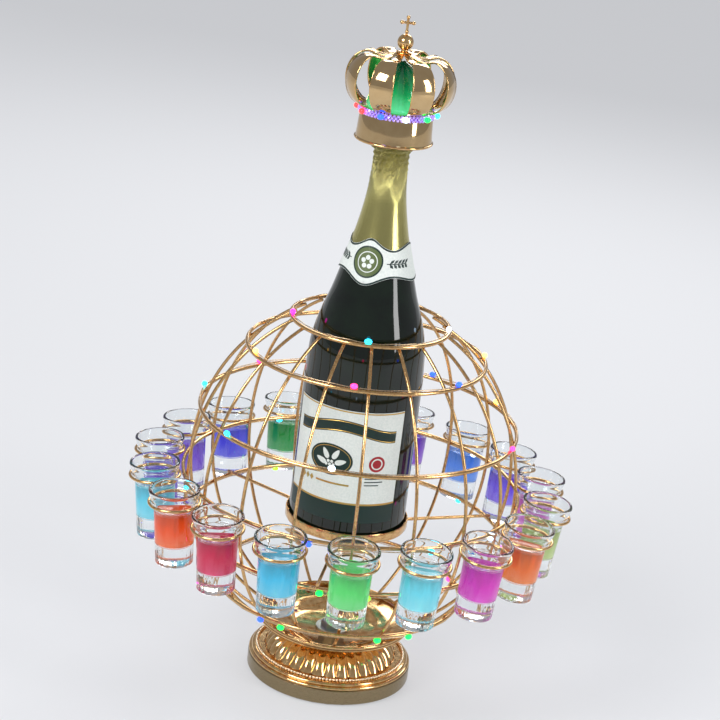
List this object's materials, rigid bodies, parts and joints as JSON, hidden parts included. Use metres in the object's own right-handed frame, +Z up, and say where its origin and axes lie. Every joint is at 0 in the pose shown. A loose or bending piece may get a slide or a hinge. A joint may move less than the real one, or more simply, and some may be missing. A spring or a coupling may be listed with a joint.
{
  "type": "party shot dispenser",
  "caption": "Gold wire globe on a fluted foot that holds a sparkling wine bottle with a lit crown topper inside and shot glasses in wire rings round its belt.",
  "frame": {"origin": "centre of the underside of the round foot", "axes": "+Z up along the bottle; -Y towards the viewer, where glass_01 hangs; +X to the viewer's right"},
  "size_m": [0.3298, 0.335, 0.5107],
  "materials": {
    "gold_wire": "polished",
    "gold_polished": "polished",
    "bronze_satin": "satin",
    "steel": "satin",
    "black_rubber": "matte",
    "black_plastic": "matte",
    "clear_glass": "gloss",
    "bottle_green": "gloss",
    "foil": "satin",
    "cork_wood": "matte",
    "label_paper": "matte",
    "lamp": "gloss",
    "cap_green": "gloss",
    "crystal": "gloss",
    "copper_wire": "satin"
  },
  "bodies": {
    "stand": {"foot_pad": "black_rubber", "base_drum": "bronze_satin", "step_ring": "gold_polished", "bead_ring": "gold_polished", "fluted_skirt": "gold_polished", "globe_dish": "gold_polished", "centre_rod": "steel", "washer": "steel", "rod_nut": "steel", "battery_case": "black_plastic", "foot_ring": "gold_wire", "waist_ring": "gold_wire", "lower_ring": "gold_wire", "belt_ring": "gold_wire", "upper_ring": "gold_wire", "shoulder_ring": "gold_wire", "mouth_ring": "gold_wire", "meridian_wires": "gold_wire", "holder_rings": "gold_wire", "bottle_seat": "gold_wire", "seat_spokes": "gold_wire", "light_wire": "copper_wire", "lamp_beads": "lamp"},
    "switch": {"switch_knob": "black_plastic"},
    "bottle": {"bottle_glass": "bottle_green", "cork": "cork_wood", "foil_capsule": "foil", "body_label": "label_paper", "neck_label": "label_paper"},
    "crown": {"crown_band": "gold_polished", "crown_socket": "black_plastic", "crown_cell": "steel", "crown_cap": "cap_green", "crystal_band": "crystal", "crown_arches": "gold_polished", "crown_finial": "gold_polished", "crown_lamps": "lamp"},
    "glass_01": {"glass_01": "clear_glass"},
    "glass_02": {"glass_02": "clear_glass"},
    "glass_03": {"glass_03": "clear_glass"},
    "glass_04": {"glass_04": "clear_glass"},
    "glass_05": {"glass_05": "clear_glass"},
    "glass_06": {"glass_06": "clear_glass"},
    "glass_07": {"glass_07": "clear_glass"},
    "glass_08": {"glass_08": "clear_glass"},
    "glass_09": {"glass_09": "clear_glass"},
    "glass_10": {"glass_10": "clear_glass"},
    "glass_11": {"glass_11": "clear_glass"},
    "glass_12": {"glass_12": "clear_glass"},
    "glass_13": {"glass_13": "clear_glass"},
    "glass_14": {"glass_14": "clear_glass"},
    "glass_15": {"glass_15": "clear_glass"},
    "glass_16": {"glass_16": "clear_glass"},
    "glass_17": {"glass_17": "clear_glass"},
    "glass_18": {"glass_18": "clear_glass"}
  },
  "joints": [
    {"name": "bottle_lift", "type": "slide", "parent": "stand", "child": "bottle", "axis": [0, 0, 1], "range_m": [0, 0.19]},
    {"name": "crown_lift", "type": "slide", "parent": "bottle", "child": "crown", "axis": [0, 0, 1], "range_m": [0, 0.08]},
    {"name": "switch_slide", "type": "slide", "parent": "stand", "child": "switch", "axis": [1, 0, 0], "range_m": [0, 0.004]},
    {"name": "glass_01_lift", "type": "slide", "parent": "stand", "child": "glass_01", "axis": [0, -0.0924, 0.9957], "range_m": [0, 0.065]},
    {"name": "glass_02_lift", "type": "slide", "parent": "stand", "child": "glass_02", "axis": [0.0316, -0.0868, 0.9957], "range_m": [0, 0.065]},
    {"name": "glass_03_lift", "type": "slide", "parent": "stand", "child": "glass_03", "axis": [0.0594, -0.0708, 0.9957], "range_m": [0, 0.065]},
    {"name": "glass_04_lift", "type": "slide", "parent": "stand", "child": "glass_04", "axis": [0.08, -0.0462, 0.9957], "range_m": [0, 0.065]},
    {"name": "glass_05_lift", "type": "slide", "parent": "stand", "child": "glass_05", "axis": [0.091, -0.016, 0.9957], "range_m": [0, 0.065]},
    {"name": "glass_06_lift", "type": "slide", "parent": "stand", "child": "glass_06", "axis": [0.091, 0.016, 0.9957], "range_m": [0, 0.065]},
    {"name": "glass_07_lift", "type": "slide", "parent": "stand", "child": "glass_07", "axis": [0.08, 0.0462, 0.9957], "range_m": [0, 0.065]},
    {"name": "glass_08_lift", "type": "slide", "parent": "stand", "child": "glass_08", "axis": [0.0594, 0.0708, 0.9957], "range_m": [0, 0.065]},
    {"name": "glass_09_lift", "type": "slide", "parent": "stand", "child": "glass_09", "axis": [0.0316, 0.0868, 0.9957], "range_m": [0, 0.065]},
    {"name": "glass_10_lift", "type": "slide", "parent": "stand", "child": "glass_10", "axis": [0, 0.0924, 0.9957], "range_m": [0, 0.065]},
    {"name": "glass_11_lift", "type": "slide", "parent": "stand", "child": "glass_11", "axis": [-0.0316, 0.0868, 0.9957], "range_m": [0, 0.065]},
    {"name": "glass_12_lift", "type": "slide", "parent": "stand", "child": "glass_12", "axis": [-0.0594, 0.0708, 0.9957], "range_m": [0, 0.065]},
    {"name": "glass_13_lift", "type": "slide", "parent": "stand", "child": "glass_13", "axis": [-0.08, 0.0462, 0.9957], "range_m": [0, 0.065]},
    {"name": "glass_14_lift", "type": "slide", "parent": "stand", "child": "glass_14", "axis": [-0.091, 0.016, 0.9957], "range_m": [0, 0.065]},
    {"name": "glass_15_lift", "type": "slide", "parent": "stand", "child": "glass_15", "axis": [-0.091, -0.016, 0.9957], "range_m": [0, 0.065]},
    {"name": "glass_16_lift", "type": "slide", "parent": "stand", "child": "glass_16", "axis": [-0.08, -0.0462, 0.9957], "range_m": [0, 0.065]},
    {"name": "glass_17_lift", "type": "slide", "parent": "stand", "child": "glass_17", "axis": [-0.0594, -0.0708, 0.9957], "range_m": [0, 0.065]},
    {"name": "glass_18_lift", "type": "slide", "parent": "stand", "child": "glass_18", "axis": [-0.0316, -0.0868, 0.9957], "range_m": [0, 0.065]}
  ]
}
